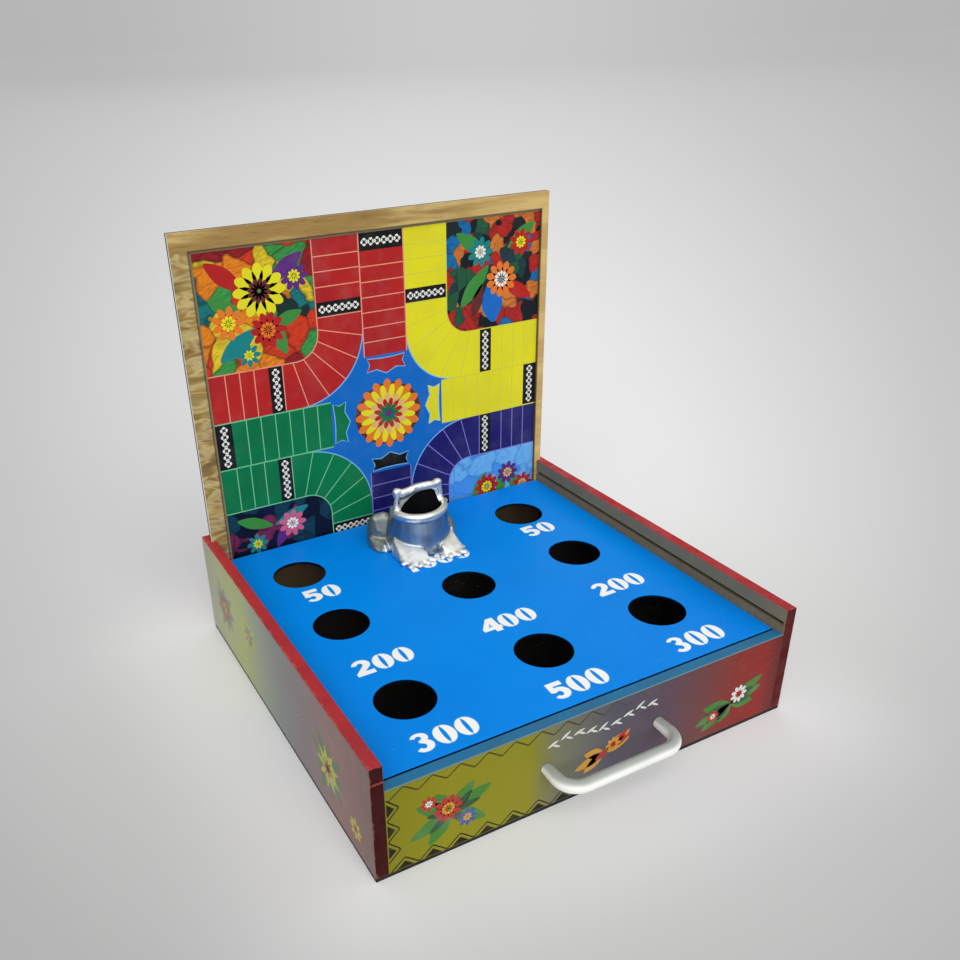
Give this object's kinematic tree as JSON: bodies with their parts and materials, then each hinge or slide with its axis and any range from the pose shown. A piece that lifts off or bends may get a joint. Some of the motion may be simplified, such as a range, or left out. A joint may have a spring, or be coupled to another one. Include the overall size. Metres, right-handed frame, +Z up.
{
  "type": "board game box",
  "caption": "Low wooden toss game box with a carrying handle, round targets around an open mouthed metal frog, and a framed pachisi board lid standing in slots at the rear",
  "frame": {"origin": "centre of the box's footprint, on the floor", "axes": "X to the right and Y to the rear as seen from the handle side, Z up; the handle is at the front, on the -Y side, and the lid stands at the rear"},
  "size_m": [0.3506, 0.3711, 0.35],
  "materials": {
    "dark_hardboard": "raw hardboard, dark brown edge",
    "red_paint": "painted fibreboard, satin",
    "teal_paint": "painted fibreboard, satin",
    "plain_fibreboard": "raw fibreboard",
    "printed_film": "printed vinyl film, glossy",
    "white_plastic": "moulded, smooth",
    "plated_steel": "zinc plated",
    "blue_gloss_paint": "bright blue, glossy",
    "cast_aluminium": "sand cast, body and rims polished",
    "knotty_veneer": "knotty wood grain, clear satin coat",
    "field_print": "printed and laminated"
  },
  "bodies": {
    "box": {"bottom_panel": "dark_hardboard", "left_side_panel": "red_paint", "right_side_panel": "red_paint", "front_panel": "teal_paint", "back_panel": "red_paint", "rear_partition": "plain_fibreboard", "left_board_cleat": "plain_fibreboard", "right_board_cleat": "plain_fibreboard", "front_board_cleat": "plain_fibreboard", "front_long_divider": "plain_fibreboard", "rear_long_divider": "plain_fibreboard", "left_cross_divider": "plain_fibreboard", "right_cross_divider": "plain_fibreboard", "left_film": "printed_film", "right_film": "printed_film", "front_film": "printed_film", "carry_handle": "white_plastic", "handle_screws": "plated_steel", "base_screws": "plated_steel"},
    "deck": {"throw_board": "blue_gloss_paint"},
    "frog_casting": {"frog": "cast_aluminium"},
    "lid": {"lid_backing": "dark_hardboard", "lid_frame": "knotty_veneer", "board_print": "field_print"}
  },
  "joints": [
    {"name": "lid_lift", "type": "slide", "parent": "box", "child": "lid", "axis": [0, 0, 1], "range_m": [0, 0.1]},
    {"name": "deck_lift", "type": "slide", "parent": "box", "child": "deck", "axis": [0, 0, 1], "range_m": [0, 0.03]},
    {"name": "frog_lift", "type": "slide", "parent": "deck", "child": "frog_casting", "axis": [0, 0, 1], "range_m": [0, 0.02]}
  ]
}
